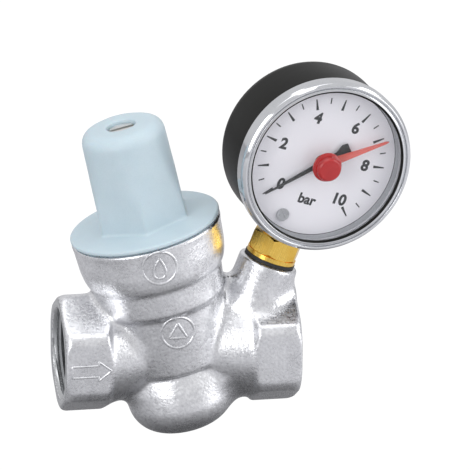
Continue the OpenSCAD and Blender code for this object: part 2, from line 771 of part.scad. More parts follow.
module set_knob() color(signal_red) in_gauge() {
    rod_y(0.88, lens_front, set_front + set_t);
    rod_y(lens_hole_r - 0.1, lens_front - 0.1, set_front);
    turned_about_y() polygon([
        [0, knob_front], [2.6, knob_front], [3.2, knob_front + 0.3], [knob_r, knob_front + 1],
        [knob_r, lens_front - 0.9], [4.4, lens_front - 0.7], [4.4, lens_front - 0.1],
        [0, lens_front - 0.1]]);
}

valve_body();
cartridge_cage();
cage_o_ring_upper();
cage_o_ring_lower();
valve_seat();
strainer();
strainer_cap();
stem();
stem_o_ring();
obturator();
seat_gasket();
obturator_nut();
diaphragm_washer();
diaphragm();
diaphragm_plate();
stem_nut();
slip_ring();
adjusting_spring();
spring_plate();
adjusting_screw();
cover_insert();
spring_cover();
gauge_seal();
gauge_socket();
gauge_case();
socket_screws();
bourdon_tube();
tube_tip();
tip_link();
link_pins();
movement_back_plate();
movement_pillars();
movement_front_plate();
movement_screws();
mounting_screws();
sector_gear();
pinion();
hairspring();
hairspring_stud();
dial();
dial_screw();
pointer();
lens_gasket();
gauge_lens();
gauge_bezel();
set_pointer();
set_knob();
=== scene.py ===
"""Looks of an inclined pressure reducing valve with its gauge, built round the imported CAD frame."""
import json
import math

import bmesh
import bpy
import numpy as np
from mathutils import Matrix, Vector


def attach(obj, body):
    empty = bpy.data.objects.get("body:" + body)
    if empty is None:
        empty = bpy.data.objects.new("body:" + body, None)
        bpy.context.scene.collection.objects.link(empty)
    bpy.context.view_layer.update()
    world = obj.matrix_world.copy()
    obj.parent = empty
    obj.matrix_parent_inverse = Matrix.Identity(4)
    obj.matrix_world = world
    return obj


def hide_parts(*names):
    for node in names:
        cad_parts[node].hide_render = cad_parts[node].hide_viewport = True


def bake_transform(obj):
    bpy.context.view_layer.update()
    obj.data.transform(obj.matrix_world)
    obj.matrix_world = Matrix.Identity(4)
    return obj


MM = 0.001
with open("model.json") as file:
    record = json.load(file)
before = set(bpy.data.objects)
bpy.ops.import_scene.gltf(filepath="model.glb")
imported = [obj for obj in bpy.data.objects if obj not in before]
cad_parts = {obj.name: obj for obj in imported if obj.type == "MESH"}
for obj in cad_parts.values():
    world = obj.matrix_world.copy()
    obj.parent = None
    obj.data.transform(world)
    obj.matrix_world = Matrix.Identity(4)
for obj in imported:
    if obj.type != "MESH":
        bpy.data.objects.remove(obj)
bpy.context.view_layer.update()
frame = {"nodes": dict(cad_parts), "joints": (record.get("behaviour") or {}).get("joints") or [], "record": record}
record = frame["record"]
joints = {joint["name"]: joint for joint in frame["joints"]}


# ---------------------------------------------------------------- frames taken from the record
def to_frame(origin, x_axis, z_axis):
    """Matrix of a right-handed frame from its origin, its X axis and its Z axis."""
    z = Vector(z_axis).normalized()
    y = z.cross(Vector(x_axis)).normalized()
    x = y.cross(z)
    return Matrix(((x.x, y.x, z.x, origin[0]), (x.y, y.y, z.y, origin[1]),
                   (x.z, y.z, z.z, origin[2]), (0, 0, 0, 1)))


# the cartridge: its axis as Z, from where it crosses the pipe axis
stem_axis = Vector(joints["adjusting_screw_turn"]["axis"])
screw_point = Vector(joints["adjusting_screw_turn"]["pos_m"])
CARTRIDGE = to_frame(screw_point - stem_axis * (screw_point.z / stem_axis.z), (1, 0, 0), stem_axis)

# the gauge: its stem as Z and its dial towards -Y, from the middle of the case
POINTER_Y = -9.1 * MM
GAUGE_RISE = 34.9 * MM
dial_back = Vector(joints["pointer_turn"]["axis"])
dial_right = Vector(joints["tube_tip_travel"]["axis"])
dial_up = dial_right.cross(dial_back)
GAUGE = to_frame(Vector(joints["pointer_turn"]["pos_m"]) - dial_back * POINTER_Y, dial_right, dial_up)
BOSS = GAUGE @ Matrix.Translation((0, 0, -GAUGE_RISE))

DIAL_FACE = -8.3
PIPE = record["mounts"][1]["pos_m"][0] / MM
FLATS = 32
ROOT_3 = math.sqrt(3)


# ---------------------------------------------------------------- camera
def make_camera():
    """A long lens a little above the valve, from the front and slightly from the inlet side."""
    azimuth, elevation, roll = math.radians(-10), math.radians(19), math.radians(0.3)
    distance, pixels_per_mm, picture = 1.9, 3.425, 470
    target = Vector((0.0524, 0, 0.0337))
    back = Vector((math.sin(azimuth) * math.cos(elevation),
                   -math.cos(azimuth) * math.cos(elevation), math.sin(elevation)))
    right = Vector((math.cos(azimuth), math.sin(azimuth), 0))
    up = back.cross(right)
    right, up = (right * math.cos(roll) + up * math.sin(roll),
                 up * math.cos(roll) - right * math.sin(roll))
    data = bpy.data.cameras.new("camera")
    data.sensor_width = 36
    data.lens = pixels_per_mm * distance / MM / picture * data.sensor_width
    data.clip_start, data.clip_end = 0.05, 20
    camera = bpy.data.objects.new("camera", data)
    camera.matrix_world = Matrix.Translation(target + back * distance) @ Matrix(
        (right, up, back)).transposed().to_4x4()
    bpy.context.scene.collection.objects.link(camera)
    bpy.context.scene.camera = camera


# ---------------------------------------------------------------- materials
def node(tree, kind, values=None, **settings):
    """A new shader node with values for its input sockets and settings for the node itself."""
    made = tree.nodes.new("ShaderNode" + kind)
    for name, value in settings.items():
        setattr(made, name, value)
    for name, value in (values or {}).items():
        made.inputs[name].default_value = value
    return made


def noise(tree, place, size_mm, detail=3.0, roughness=0.55):
    """Height of a noise whose lumps are about size_mm across."""
    made = node(tree, "TexNoise", {"Scale": 1 / (size_mm * MM), "Detail": detail,
                                   "Roughness": roughness})
    tree.links.new(place, made.inputs["Vector"])
    return made.outputs["Fac"]


def ranged(tree, height, low, high):
    """A height between about 0.3 and 0.7 spread over the range from low to high."""
    made = node(tree, "MapRange", {"From Min": 0.3, "From Max": 0.7, "To Min": low, "To Max": high})
    tree.links.new(height, made.inputs["Value"])
    return made.outputs["Result"]


def bumped(tree, height, depth_mm, under=None):
    """A normal from a height, on top of another one."""
    made = node(tree, "Bump", {"Strength": 1.0, "Distance": depth_mm * MM})
    tree.links.new(height, made.inputs["Height"])
    if under:
        tree.links.new(under, made.inputs["Normal"])
    return made.outputs["Normal"]


def finish(name, dark, light, rough, grain=(0.5, 0.01), mottle_mm=8, ripple=None, along=None,
           marks=None, **socket_values):
    """A surface with colour mottling, changing roughness, grain and, where asked, tool marks.

    rough is (low, high). grain and ripple are (size, depth) in mm. along is a frame and the
    stretch of the grain in it, for drawn or turned metal. marks is (spacing, depth) in mm of
    bands along that frame's Z axis, or of rings about it where it has a third value."""
    material = bpy.data.materials.new(name)
    material.use_nodes = True
    tree = material.node_tree
    tree.nodes.clear()
    shader = node(tree, "BsdfPrincipled", socket_values)
    output = node(tree, "OutputMaterial")
    tree.links.new(shader.outputs["BSDF"], output.inputs["Surface"])
    place = node(tree, "TexCoord").outputs["Object"]
    grain_place = place
    if along:
        axes, stretch = along
        turned = node(tree, "Mapping", {"Rotation": axes.inverted().to_euler(),
                                        "Location": axes.inverted().translation})
        tree.links.new(place, turned.inputs["Vector"])
        stretched = node(tree, "Mapping", {"Scale": stretch})
        tree.links.new(turned.outputs["Vector"], stretched.inputs["Vector"])
        grain_place = stretched.outputs["Vector"]
    blotches = noise(tree, place, mottle_mm)
    grains = noise(tree, grain_place, grain[0])
    colour = node(tree, "Mix", data_type="RGBA")
    colour.inputs["A"].default_value = (*dark, 1)
    colour.inputs["B"].default_value = (*light, 1)
    both = node(tree, "Math", operation="ADD")
    tree.links.new(ranged(tree, grains, 0, 0.5), both.inputs[0])
    tree.links.new(ranged(tree, blotches, 0, 0.5), both.inputs[1])
    tree.links.new(both.outputs["Value"], colour.inputs["Factor"])
    tree.links.new(colour.outputs["Result"], shader.inputs["Base Color"])
    spread = node(tree, "MapRange", {"To Min": rough[0], "To Max": rough[1]})
    tree.links.new(both.outputs["Value"], spread.inputs["Value"])
    tree.links.new(spread.outputs["Result"], shader.inputs["Roughness"])
    normal = bumped(tree, grains, grain[1])
    if ripple:
        normal = bumped(tree, noise(tree, place, ripple[0], detail=1), ripple[1], normal)
    if marks:
        rings = node(tree, "TexWave", {"Scale": 0.314 / (marks[0] * MM), "Distortion": 0.6,
                                       "Detail": 2},
                     wave_type="RINGS" if len(marks) > 2 else "BANDS", bands_direction="Z",
                     rings_direction="Z")
        tree.links.new(turned.outputs["Vector"], rings.inputs["Vector"])
        normal = bumped(tree, rings.outputs["Fac"], marks[1], normal)
    tree.links.new(normal, shader.inputs["Normal"])
    return material


PORT_AXIS = to_frame((0, 0, 0), (0, 1, 0), (1, 0, 0))
DIAL_AXIS = to_frame(GAUGE.translation, dial_right, dial_back)

LOOKS = {
    "chrome_body": finish("chrome_body", (0.56, 0.565, 0.585), (0.94, 0.945, 0.965), (0.22, 0.36),
                          grain=(0.8, 0.11), mottle_mm=9, ripple=(2.6, 0.06), Metallic=1.0),
    "chrome_machined": finish("chrome_machined", (0.46, 0.47, 0.48), (0.62, 0.63, 0.64), (0.18, 0.3),
                              grain=(0.3, 0.003), mottle_mm=6, along=(PORT_AXIS, (1, 1, 1)),
                              marks=(0.35, 0.004, "rings"), Metallic=1.0),
    "cover_plastic": finish("cover_plastic", (0.475, 0.585, 0.640), (0.535, 0.645, 0.700), (0.34, 0.5),
                            grain=(0.35, 0.010), mottle_mm=7, ripple=(5, 0.02),
                            **{"Subsurface Weight": 0.06, "Subsurface Scale": 0.002}),
    "brass": finish("brass", (0.80, 0.47, 0.075), (0.95, 0.68, 0.17), (0.17, 0.33),
                    grain=(0.25, 0.004), mottle_mm=4, along=(GAUGE, (1, 1, 0.06)), Metallic=1.0),
    "cartridge_brass": finish("cartridge_brass", (0.68, 0.50, 0.24), (0.84, 0.68, 0.42),
                              (0.2, 0.36), grain=(0.3, 0.005), mottle_mm=3,
                              along=(CARTRIDGE, (1, 1, 1)), marks=(0.5, 0.006), Metallic=1.0),
    "screw_zinc": finish("screw_zinc", (0.70, 0.70, 0.69), (0.84, 0.84, 0.82), (0.25, 0.42),
                         grain=(0.3, 0.004), mottle_mm=2, Metallic=1.0),
    "steel": finish("steel", (0.48, 0.49, 0.51), (0.62, 0.63, 0.65), (0.2, 0.38),
                    grain=(0.3, 0.005), mottle_mm=3, Metallic=1.0),
    "spring_steel": finish("spring_steel", (0.40, 0.41, 0.43), (0.56, 0.57, 0.59), (0.22, 0.4),
                           grain=(0.2, 0.006), mottle_mm=2, Metallic=1.0),
    "rubber": finish("rubber", (0.012, 0.012, 0.013), (0.028, 0.028, 0.03), (0.5, 0.75),
                     grain=(0.2, 0.012), mottle_mm=2),
    "cage_plastic": finish("cage_plastic", (0.035, 0.038, 0.043), (0.06, 0.063, 0.07), (0.4, 0.6),
                           grain=(0.15, 0.008), mottle_mm=3),
    "case_black": finish("case_black", (0.006, 0.006, 0.005), (0.011, 0.011, 0.010), (0.30, 0.42),
                         grain=(0.3, 0.006), mottle_mm=10, ripple=(4, 0.02),
                         **{"Specular IOR Level": 0.12}),
    # pale grey for the case's inner wall, dial seat and lens gasket: painted light on parts that lie in shade
    "case_inside": finish("case_inside", (0.46, 0.47, 0.50), (0.55, 0.56, 0.59), (0.4, 0.6),
                          grain=(0.3, 0.004), mottle_mm=5),
    "bezel_chrome": finish("bezel_chrome", (0.62, 0.63, 0.65), (0.74, 0.75, 0.77), (0.05, 0.12),
                           grain=(0.4, 0.0015), mottle_mm=12, along=(DIAL_AXIS, (1, 1, 1)),
                           marks=(0.5, 0.001, "rings"), Metallic=1.0),
    "lens": finish("lens", (0.40, 0.42, 0.43), (0.46, 0.48, 0.49), (0.01, 0.05),
                   grain=(0.6, 0.0004), mottle_mm=15, Alpha=0.05, IOR=1.52),
    "dial_white": finish("dial_white", (0.86, 0.85, 0.90), (0.91, 0.90, 0.95), (0.4, 0.55),
                         grain=(0.15, 0.0015), mottle_mm=9),
    "dial_print": finish("dial_print", (0.010, 0.010, 0.012), (0.022, 0.022, 0.026), (0.4, 0.55),
                         grain=(0.12, 0.002), mottle_mm=1.5),
    "pointer_black": finish("pointer_black", (0.010, 0.011, 0.012), (0.020, 0.022, 0.024),
                            (0.3, 0.45), grain=(0.15, 0.003), mottle_mm=2),
    "signal_red": finish("signal_red", (0.36, 0.006, 0.008), (0.46, 0.012, 0.013), (0.16, 0.3),
                         grain=(0.25, 0.004), mottle_mm=2,
                         **{"Coat Weight": 0.4, "Coat Roughness": 0.1}),
    "pointer_red": finish("pointer_red", (0.72, 0.085, 0.06), (0.84, 0.14, 0.10), (0.25, 0.4),
                          grain=(0.2, 0.003), mottle_mm=2, Alpha=0.72),
}


# ---------------------------------------------------------------- mesh helpers
def add_piece(name, vertices, faces, look, body, axes=None, sharp=None, replaces=()):
    """A mesh piece from vertices in metres, placed by a frame, riding on a CAD body unless None."""
    mesh = bpy.data.meshes.new(name)
    mesh.from_pydata(np.asarray(vertices, float).tolist(), [], faces)
    if axes:
        mesh.transform(axes)
    mesh.update()
    mesh.shade_smooth()
    if sharp:
        mesh.set_sharp_from_angle(angle=math.radians(sharp))
    mesh.materials.append(LOOKS[look])
    piece = bpy.data.objects.new(name, mesh)
    bpy.context.scene.collection.objects.link(piece)
    if body:
        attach(piece, body)
    if replaces:
        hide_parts(*replaces)
    return piece


def filleted(outline, steps=6):
    """Points of a closed outline of (x, y, radius) corners, each rounded by its radius."""
    points = []
    count = len(outline)
    for i, (x, y, radius) in enumerate(outline):
        corner = Vector((x, y))
        if radius <= 0:
            points.append(corner)
            continue
        before = Vector(outline[i - 1][:2]) - corner
        after = Vector(outline[(i + 1) % count][:2]) - corner
        half = before.angle(after) / 2
        reach = min(radius / math.tan(half), 0.49 * before.length, 0.49 * after.length)
        middle = (before.normalized() + after.normalized()).normalized()
        centre = corner + middle * (reach / math.cos(half))
        start = corner + before.normalized() * reach - centre
        end = corner + after.normalized() * reach - centre
        sweep = start.angle_signed(end)
        for k in range(steps + 1):
            points.append(centre + Matrix.Rotation(-sweep * k / steps, 2) @ start)
    return points


def rings_to_faces(rings, samples, closed=True):
    """Quads between rings of samples points each; the last ring joins the first if closed."""
    faces = []
    for i in range(rings if closed else rings - 1):
        for j in range(samples):
            a, b = i * samples + j, i * samples + (j + 1) % samples
            c, d = ((i + 1) % rings) * samples + (j + 1) % samples, ((i + 1) % rings) * samples + j
            faces.append((a, b, c, d))
    return faces


def revolved(outline, samples=128, about_y=False):
    """Vertices and faces of a closed outline of (radius, height) in mm turned about Z, or about Y."""
    vertices = []
    for radius, height in outline:
        for j in range(samples):
            turn = 2 * math.pi * j / samples
            across, up = radius * math.cos(turn) * MM, radius * math.sin(turn) * MM
            vertices.append((across, height * MM, -up) if about_y else (across, up, height * MM))
    return vertices, rings_to_faces(len(outline), samples)


def turned_solid(name, outline, look, body, axes, samples=128, about_y=False, sharp=40,
                 replaces=()):
    """A turned piece whose outline of (radius, height, fillet) may touch the axis at radius 0."""
    vertices, faces = revolved(filleted(outline), samples, about_y)
    piece = add_piece(name, vertices, faces, look, body, axes, None, replaces)
    work = bmesh.new()
    work.from_mesh(piece.data)
    bmesh.ops.remove_doubles(work, verts=work.verts, dist=1e-6)
    bmesh.ops.dissolve_degenerate(work, dist=1e-7, edges=work.edges)
    bmesh.ops.recalc_face_normals(work, faces=work.faces)
    work.to_mesh(piece.data)
    work.free()
    piece.data.set_sharp_from_angle(angle=math.radians(sharp))
    return piece


def swept(path, normals, half_width, half_height, sides=10, closed=True):
    """Vertices and faces of an elliptic bead along a path; half_height lies along the normals."""
    path, normals = np.asarray(path, float), np.asarray(normals, float)
    if closed:
        ahead = np.roll(path, -1, axis=0) - np.roll(path, 1, axis=0)
    else:
        ahead = np.gradient(path, axis=0)
    across = np.cross(normals, ahead)
    across /= np.linalg.norm(across, axis=1)[:, None]
    turn = np.linspace(0, 2 * math.pi, sides, endpoint=False)
    rings = (path[:, None, :] + across[:, None, :] * half_width * np.cos(turn)[None, :, None]
             + normals[:, None, :] * half_height * np.sin(turn)[None, :, None])
    faces = rings_to_faces(len(path), sides, closed)
    if not closed:
        faces.append(tuple(range(sides - 1, -1, -1)))
        faces.append(tuple(range((len(path) - 1) * sides, len(path) * sides)))
    return rings.reshape(-1, 3), faces


# ---------------------------------------------------------------- valve body as a distance field, in mm
def smooth_min(a, b, blend):
    """The lower of two distances, with a fillet about blend wide between them."""
    near = np.maximum(blend - np.abs(a - b), 0) / blend
    return np.minimum(a, b) - near * near * blend / 4


def in_axes(axes, x, y, z):
    """Coordinates in a frame, in mm, of points given in the row frame in mm."""
    turn = np.array(axes.inverted())
    return [turn[i, 0] * x + turn[i, 1] * y + turn[i, 2] * z + turn[i, 3] / MM for i in range(3)]


def outline_distance(x, y, outline):
    """Distance from a closed outline, negative inside it."""
    squared = np.full(np.shape(x), 1e9)
    inside = np.zeros(np.shape(x), bool)
    for (ax, ay), (bx, by) in zip(outline, outline[1:] + outline[:1]):
        run, rise = bx - ax, by - ay
        from_x, from_y = x - ax, y - ay
        part = np.clip((from_x * run + from_y * rise) / (run * run + rise * rise), 0, 1)
        squared = np.minimum(squared, (from_x - run * part) ** 2 + (from_y - rise * part) ** 2)
        if rise:
            inside ^= ((ay > y) != (by > y)) & (from_x < from_y * run / rise)
    return np.where(inside, -1, 1) * np.sqrt(squared)


def rod_distance(x, y, z, start, end, radius):
    """Distance from a round-ended rod between two points of the plane y = 0."""
    run, rise = end[0] - start[0], end[1] - start[1]
    part = np.clip(((x - start[0]) * run + (z - start[1]) * rise) / (run * run + rise * rise), 0, 1)
    return np.sqrt((x - start[0] - run * part) ** 2 + y * y + (z - start[1] - rise * part) ** 2) - radius


HOUSING = [(0, -4), (14.5, -4), (14.8, -3.5), (16.8, 15), (17.6, 15.8), (18.6, 16.6), (19.4, 24.4),
           (20.3, 25.2), (21.1, 27.4), (21.6, 30.2), (21.95, 36.2), (22.1, 37.7), (22.55, 38.3),
           (22.3, 38.8), (0, 38.8)]
CHAMBERS = [(0, 42), (19.6, 42), (19.6, 29), (15.2, 29), (15.2, 23), (11, 23), (11, 16), (12.8, 16),
            (12.8, 4.5), (9.5, 4.5), (9.5, 0), (10.8, -1), (10.8, -7), (12, -12), (12, -15),
            (8, -19), (0, -19)]
BORE_R, BORE_DEPTH, MOUTH_R = 13.05, 15, 13.9
BOWL_SHIFT = 1.4
BOWL = [(0, -3.4), (12.2, -3.6), (13.6, -5.5), (14.8, -9), (15.5, -12)]
BOWL += [(6.8 + 9 * math.cos(math.radians(a)), -14.6 - 9 * math.sin(math.radians(a)))
         for a in range(0, 91, 6)] + [(0, -23.6)]
BOSS_R, BOSS_BORE_R, BOSS_DEPTH = 8.9, 6.6, 10.5
INLET_WAY = ((13, -4), (36, -13), 5.5)
OUTLET_WAY = ((56, 5), (40, 14), 4.5)


def outside_distance(x, y, z):
    """Distance from the body's outside, without its bores."""
    pipe_r = np.hypot(y, z)
    inward = PIPE / 2 - np.abs(x - PIPE / 2)
    flats = np.maximum(np.abs(y), np.abs(y) / 2 + np.abs(z) * ROOT_3 / 2) - FLATS / 2
    port = np.maximum.reduce([
        flats, pipe_r - 17.7, (pipe_r - inward - 16.3) / math.sqrt(2),
        (pipe_r + 1.7 * inward - 39.8) / 1.972, -inward, inward - 14])
    neck = np.maximum(pipe_r - np.interp(inward, (15, 25), (15.4, 12.2)), 13 - inward)
    solid = smooth_min(port, neck, 1.2)
    across, side, height = in_axes(CARTRIDGE, x, y, z)
    bowl = outline_distance(np.hypot(across + BOWL_SHIFT, side), height, BOWL)
    bowl_neck = np.maximum(np.hypot(across, side) - 12.2, np.abs(height + 4.8) - 4.8)
    fillet = np.interp(height, (-10, -5), (6, 1.2))
    solid = smooth_min(solid, smooth_min(bowl, bowl_neck, 2), fillet)
    solid = smooth_min(solid, rod_distance(x, y, z, *OUTLET_WAY[:2], 6.9), 5)
    boss_x, boss_y, boss_z = in_axes(BOSS, x, y, z)
    boss_out = np.hypot(boss_x, boss_y)
    boss = np.maximum.reduce([boss_out - BOSS_R, (boss_out + boss_z - BOSS_R + 0.5) / math.sqrt(2),
                              boss_z, -14 - boss_z])
    solid = smooth_min(solid, boss, 4)
    fillet = np.interp(height, (-1, 6), (0.3, 2.6))
    solid = smooth_min(solid, outline_distance(np.hypot(across, side), height, HOUSING), fillet)
    rib = np.maximum.reduce([np.abs(x - 50.5) - 6.5, np.abs(y) - 2.2, np.abs(z - 19.3) - 2.3])
    return smooth_min(solid, rib, 1.5)


def body_distance(x, y, z):
    """Distance from the bored body."""
    pipe_r = np.hypot(y, z)
    inward = PIPE / 2 - np.abs(x - PIPE / 2)
    across, side, height = in_axes(CARTRIDGE, x, y, z)
    boss_x, boss_y, boss_z = in_axes(BOSS, x, y, z)
    boss_out = np.hypot(boss_x, boss_y)
    hollow = np.minimum.reduce([
        outline_distance(np.hypot(across, side), height, CHAMBERS),
        np.maximum(pipe_r - BORE_R, inward - BORE_DEPTH),
        (pipe_r + inward - MOUTH_R) / math.sqrt(2),
        rod_distance(x, y, z, *INLET_WAY), rod_distance(x, y, z, *OUTLET_WAY),
        np.maximum(boss_out - BOSS_BORE_R, -BOSS_DEPTH - boss_z),
        np.maximum(boss_out - 1.5, -24 - boss_z)])
    return np.maximum(outside_distance(x, y, z), -hollow)


def softened(values):
    """Values averaged with their neighbours along each axis, which rounds the edges."""
    for axis in range(3):
        padded = np.concatenate([values.take([0], axis), values, values.take([-1], axis)], axis)
        count = values.shape[axis]
        before, here, after = (padded.take(range(k, k + count), axis) for k in range(3))
        values = before / 4 + here / 2 + after / 4
    return values


def surface_net(values, low, step):
    """Vertices and quads of the surface where a grid of values crosses zero."""
    inside = values < 0
    cells = tuple(n - 1 for n in values.shape)
    corners = [(i, j, k) for i in (0, 1) for j in (0, 1) for k in (0, 1)]
    count = sum(inside[i:i + cells[0], j:j + cells[1], k:k + cells[2]].astype(np.int8)
                for i, j, k in corners)
    crossed = (count > 0) & (count < 8)
    index = np.full(cells, -1)
    index[crossed] = np.arange(crossed.sum())
    places = np.argwhere(crossed)
    total, hits = np.zeros(places.shape), np.zeros(len(places))
    for a in corners:
        for b in corners:
            if sum(b) - sum(a) == 1 and sum(q != p for p, q in zip(a, b)) == 1:
                start, end = values[tuple((places + a).T)], values[tuple((places + b).T)]
                cut = (start < 0) != (end < 0)
                part = np.where(cut, start / np.where(cut, start - end, 1), 0)
                total += np.where(cut[:, None], np.array(a) + (np.array(b) - a) * part[:, None], 0)
                hits += cut
    vertices = np.array(low) + step * (places + total / hits[:, None])
    quads = []
    for axis in range(3):
        others = [(axis + 1) % 3, (axis + 2) % 3]
        changed = np.argwhere(np.diff(inside.astype(np.int8), axis=axis) != 0)
        leaving = inside[tuple(changed.T)]
        ring = []
        for shift in ((1, 1), (0, 1), (0, 0), (1, 0)):
            cell = changed.copy()
            cell[:, others[0]] -= shift[0]
            cell[:, others[1]] -= shift[1]
            ring.append(index[tuple(cell.T)])
        ring = np.stack(ring, axis=1)
        quads.append(np.where(leaving[:, None], ring, ring[:, ::-1]))
    return vertices, np.concatenate(quads)


def sampled(values, low, step, points):
    """Grid values at any points, by linear interpolation."""
    places = (points - low) / step
    base = np.clip(places.astype(int), 0, np.array(values.shape) - 2)
    part = places - base
    result = 0
    for i in (0, 1):
        for j in (0, 1):
            for k in (0, 1):
                weight = np.prod(np.where((i, j, k), part, 1 - part), axis=1)
                result = result + weight * values[tuple((base + (i, j, k)).T)]
    return result


def slope(height_at, points, reach):
    """Unit gradient of a function of points, and its length."""
    steps = np.eye(3) * reach
    change = np.stack([height_at(points + s) - height_at(points - s) for s in steps], axis=1)
    size = np.linalg.norm(change, axis=1)
    return change / size[:, None], size / (2 * reach)


def make_body():
    """The cast and machined valve body, with the fillets of a casting."""
    step = 0.5
    low = np.array([-1.5, -25, -26])
    high = np.array([PIPE + 1.5, 25, 46])
    axes = [np.arange(a, b, step) for a, b in zip(low, high)]
    values = softened(softened(body_distance(*np.meshgrid(*axes, indexing="ij"))))
    points, quads = surface_net(values, low, step)

    def height_at(place):
        return sampled(values, low, step, place)

    for _ in range(3):
        normals, steep = slope(height_at, points, step / 2)
        points -= normals * (height_at(points) / steep)[:, None]
    normals, _ = slope(height_at, points, step * 0.6)
    piece = add_piece("body_casting", points * MM, quads.tolist(), "chrome_body", "housing",
                      replaces=("valve_body",))
    piece.data.materials.append(LOOKS["chrome_machined"])
    middles = points[quads].mean(axis=1)
    inward = PIPE / 2 - np.abs(middles[:, 0] - PIPE / 2)
    pipe_r = np.hypot(middles[:, 1], middles[:, 2])
    machined = (inward < 0.3) | ((pipe_r < BORE_R + 0.5) & (inward < BORE_DEPTH + 0.3))
    piece.data.polygons.foreach_set("material_index", machined.astype(np.int32))
    piece.data.normals_split_custom_set_from_vertices(normals.tolist())
    return piece


def make_port_threads():
    """Pipe thread turns in both ports, as one closed ridge in each."""
    pitch, turns, samples = 1.814, 7, 72
    root, crest = BORE_R + 0.25, 12.1
    half_root, half_crest = 0.86, 0.2
    count = int(turns * samples)
    for name, face, inward in (("inlet_thread_turns", 0, 1), ("outlet_thread_turns", PIPE, -1)):
        vertices = []
        for i in range(count + 1):
            turn = 2 * math.pi * i / samples * -inward
            depth = 1.1 + pitch * i / samples
            runout = min(1, i / (0.5 * samples), (count - i) / (0.5 * samples))
            tip = root + (crest - root) * max(runout, 0.05)
            for radius, shift in ((root, -half_root), (tip, -half_crest), (tip, half_crest),
                                  (root, half_root)):
                vertices.append(((face + inward * (depth + shift)) * MM,
                                 radius * math.cos(turn) * MM, radius * math.sin(turn) * MM))
        faces = rings_to_faces(count + 1, 4, closed=False) + [(0, 1, 2, 3)]
        faces.append(tuple(count * 4 + k for k in (3, 2, 1, 0)))
        piece = add_piece(name, vertices, faces, "chrome_machined", "housing", sharp=35)
        work = bmesh.new()
        work.from_mesh(piece.data)
        bmesh.ops.recalc_face_normals(work, faces=work.faces)
        work.to_mesh(piece.data)
        work.free()


# ---------------------------------------------------------------- raised marks on the body
def spread_evenly(corners, gap):
    """Points about gap apart along a closed line with these corners."""
    points = []
    for start, end in zip(corners, corners[1:] + corners[:1]):
        start, end = np.array(start, float), np.array(end, float)
        count = max(1, round(float(np.linalg.norm(end - start)) / gap))
        points += [start + (end - start) * k / count for k in range(count)]
    return points


def make_mark(name, centre, normal, right, outlines, half_width=0.33, half_height=0.3):
    """Raised lines on the body's skin; outlines are in mm in a plane in front of the skin."""
    normal = np.array(normal, float) / np.linalg.norm(normal)
    right = np.array(right, float) - normal * np.dot(right, normal)
    right /= np.linalg.norm(right)
    up = np.cross(normal, right)
    vertices, faces = [], []
    for outline in outlines:
        flat = np.array(outline)
        points = np.array(centre) + flat[:, :1] * right + flat[:, 1:] * up + normal * 8
        for _ in range(40):
            points -= normal * outside_distance(*points.T)[:, None] * 0.8
        normals, _ = slope(lambda place: outside_distance(*place.T), points, 0.2)
        bead, quads = swept(points, normals, half_width, half_height)
        faces += [tuple(i + len(vertices) for i in quad) for quad in quads]
        vertices += list(bead * MM)
    return add_piece(name, vertices, faces, "chrome_body", "housing")


def circle(radius, count=48):
    """Points round a circle."""
    return [(radius * math.cos(2 * math.pi * k / count), radius * math.sin(2 * math.pi * k / count))
            for k in range(count)]


def make_emblem(name, place, radius, sign):
    """A raised ring with a plain sign in it; place is (across, height) in the cartridge's frame."""
    across, height = place
    facing = CARTRIDGE.to_3x3() @ Vector((-0.10, -0.98, 0.12))
    centre = CARTRIDGE @ Vector((across * MM, 0, height * MM)) / MM
    make_mark(name, centre, facing, (1, 0, 0), [circle(radius), sign], 0.42, 0.32)


def make_marks():
    """The flow arrow on the inlet port and two plain round emblems on the housing."""
    arrow = [(-5.6, -1.7), (2.2, -1.7), (2.2, -2.9), (6, 0), (2.2, 2.9), (2.2, 1.7), (-5.6, 1.7)]
    make_mark("flow_arrow", (7.5, -FLATS / 2, -0.5), (0, -1, 0), (1, 0, 0), [spread_evenly(arrow, 0.3)])
    drop = [(2.5 * math.sin(t) * math.sin(t / 2) ** 1.3, 3.1 * math.cos(t) - 0.2)
            for t in np.linspace(0, 2 * math.pi, 48, endpoint=False)]
    make_emblem("collar_emblem", (1.7, 30.7), 5.0, drop)
    make_emblem("housing_emblem", (2.3, 8.4), 4.8,
                spread_evenly([(-2.7, -1.7), (2.7, -1.7), (0, 2.9)], 0.3))


# ---------------------------------------------------------------- spring cover
def hexagon_radius(turns, corner_r, corner_at):
    """Radius of a hexagon at each angle; corner_at is the angle of one corner, in degrees."""
    sector = math.radians(60)
    offset = np.mod(turns - math.radians(corner_at), sector) - sector / 2
    return corner_r * ROOT_3 / 2 / np.cos(offset)


